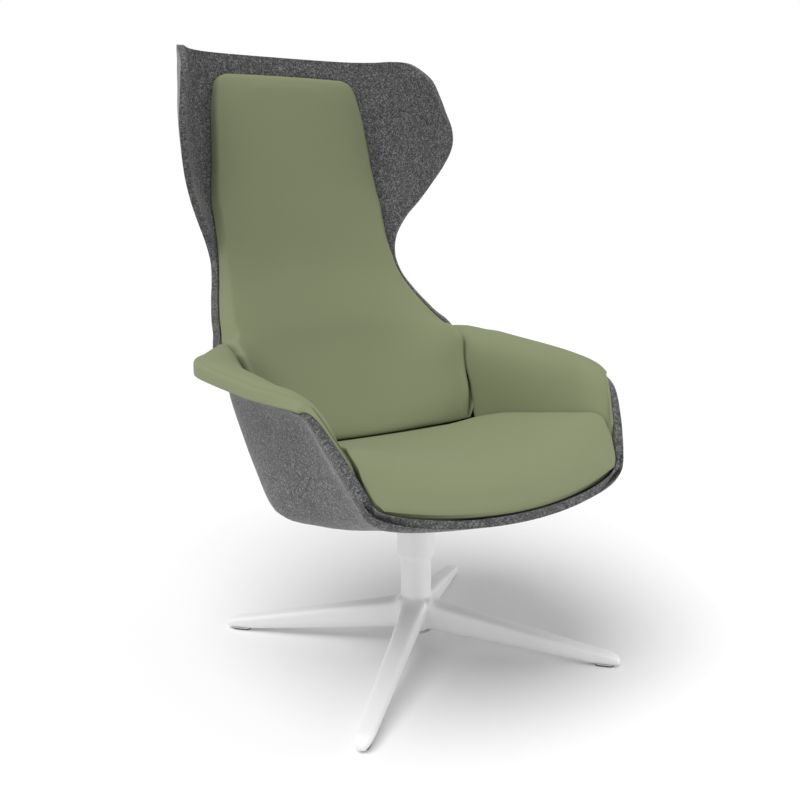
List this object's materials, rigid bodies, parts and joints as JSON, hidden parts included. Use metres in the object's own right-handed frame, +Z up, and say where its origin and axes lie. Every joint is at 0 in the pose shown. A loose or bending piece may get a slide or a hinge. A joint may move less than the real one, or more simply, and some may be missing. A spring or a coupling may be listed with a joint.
{
  "type": "high back lounge chair",
  "caption": "High back lounge chair with a moulded felt shell, head wings, flared arms, upholstered pads and a swivel post on a white star base.",
  "frame": {"origin": "on the floor, on the swivel axis", "axes": "+Z up along the swivel axis, the front of the seat faces -Y, +X towards the sitter's left"},
  "size_m": [0.699, 0.8845, 1.129],
  "materials": {
    "felt": "dark heather grey pressed felt, matte",
    "upholstery": "sage green fine weave, matte",
    "plywood": "plain sanded board",
    "plated_steel": "zinc plated",
    "bearing_steel": "polished",
    "white_coat": "satin white powder coat",
    "nylon": "plain",
    "white_nylon": "plain",
    "glide_black": "plain"
  },
  "bodies": {
    "base": {"star_base": "white_coat", "upper_bush": "nylon", "lower_bush": "nylon", "bearing_plug": "plated_steel", "plug_screws": "plated_steel", "lower_race": "plated_steel", "sleeve_bearing_ring": "nylon", "glide_bodies": "white_nylon", "glide_soles": "glide_black"},
    "seat": {"felt_shell": "felt", "back_cushion": "upholstery", "seat_cushion": "upholstery", "arm_pad_left": "upholstery", "arm_pad_right": "upholstery", "seat_board": "plywood", "tee_nuts": "plated_steel", "mount_plate": "plated_steel", "plate_bolts": "plated_steel", "plate_washers": "plated_steel", "plate_socket": "plated_steel", "cover_sleeve": "white_coat", "swivel_spindle": "plated_steel", "spindle_clip": "plated_steel", "upper_race": "plated_steel"},
    "bearing": {"ball_cage": "nylon", "bearing_balls": "bearing_steel"}
  },
  "joints": [
    {"name": "seat_swivel", "type": "hinge", "parent": "base", "child": "seat", "pos_m": [0, 0, 0.219], "axis": [0, 0, 1], "continuous": true},
    {"name": "bearing_turn", "type": "hinge", "parent": "base", "child": "bearing", "pos_m": [0, 0, 0.061], "axis": [0, 0, 1], "continuous": true}
  ],
  "couplings": [
    {"joint": "bearing_turn", "follows": "seat_swivel", "ratio": 0.5}
  ]
}
